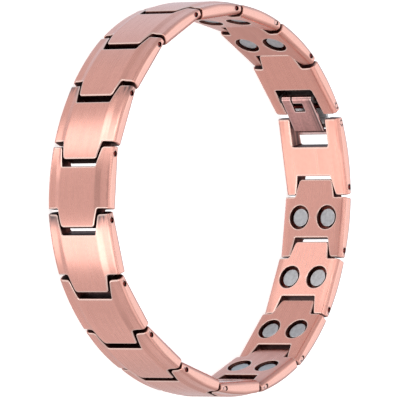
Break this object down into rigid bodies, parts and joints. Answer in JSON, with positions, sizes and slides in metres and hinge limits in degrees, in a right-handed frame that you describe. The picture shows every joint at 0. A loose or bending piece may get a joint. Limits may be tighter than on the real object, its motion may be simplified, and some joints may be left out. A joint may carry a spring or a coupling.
{
  "type": "magnetic bracelet",
  "caption": "Closed bracelet of wide flat metal links on cross pins, with round magnets in the links' backs and a fold-over clasp.",
  "frame": {"origin": "centre of the closed loop, in the plane of the rim that the bracelet rests on", "axes": "+Z along the wrist's axis, across the band; +X from the centre to the clasp's crossbar"},
  "size_m": [0.072, 0.0722, 0.0142],
  "materials": {
    "copper": "brushed rose copper",
    "magnet": "plain nickel",
    "pin": "cut ends, dull copper",
    "arm": "satin steel",
    "blade": "dark polished bronze"
  },
  "bodies": {
    "band": {"link_01": "copper", "link_02": "copper", "link_03": "copper", "link_04": "copper", "link_05": "copper", "link_06": "copper", "link_07": "copper", "link_08": "copper", "link_09": "copper", "link_10": "copper", "link_11": "copper", "link_12": "copper", "link_13": "copper", "link_14": "copper", "link_15": "copper", "link_16": "copper", "catch_link": "copper", "slot_link": "copper", "magnets_01": "magnet", "magnets_02": "magnet", "magnets_03": "magnet", "magnets_04": "magnet", "magnets_05": "magnet", "magnets_06": "magnet", "magnets_07": "magnet", "magnets_08": "magnet", "magnets_09": "magnet", "magnets_10": "magnet", "magnets_11": "magnet", "magnets_12": "magnet", "magnets_13": "magnet", "magnets_14": "magnet", "magnets_15": "magnet", "magnets_16": "magnet", "hinge_pin_01": "pin", "hinge_pin_02": "pin", "hinge_pin_03": "pin", "hinge_pin_04": "pin", "hinge_pin_05": "pin", "hinge_pin_06": "pin", "hinge_pin_07": "pin", "hinge_pin_08": "pin", "hinge_pin_09": "pin", "hinge_pin_10": "pin", "hinge_pin_11": "pin", "hinge_pin_12": "pin", "hinge_pin_13": "pin", "hinge_pin_14": "pin", "hinge_pin_15": "pin", "hinge_pin_16": "pin", "hinge_pin_17": "pin", "crossbar_pin": "pin", "arm_pin": "pin", "clasp_arm": "arm", "blade_pin": "arm"},
    "blade": {"clasp_blade": "blade"}
  },
  "joints": [
    {"name": "blade_hinge", "type": "hinge", "parent": "band", "child": "blade", "pos_m": [0.03327, 0.00428, 0.0071], "axis": [0, 0, -1], "range_deg": [0, 130]}
  ]
}
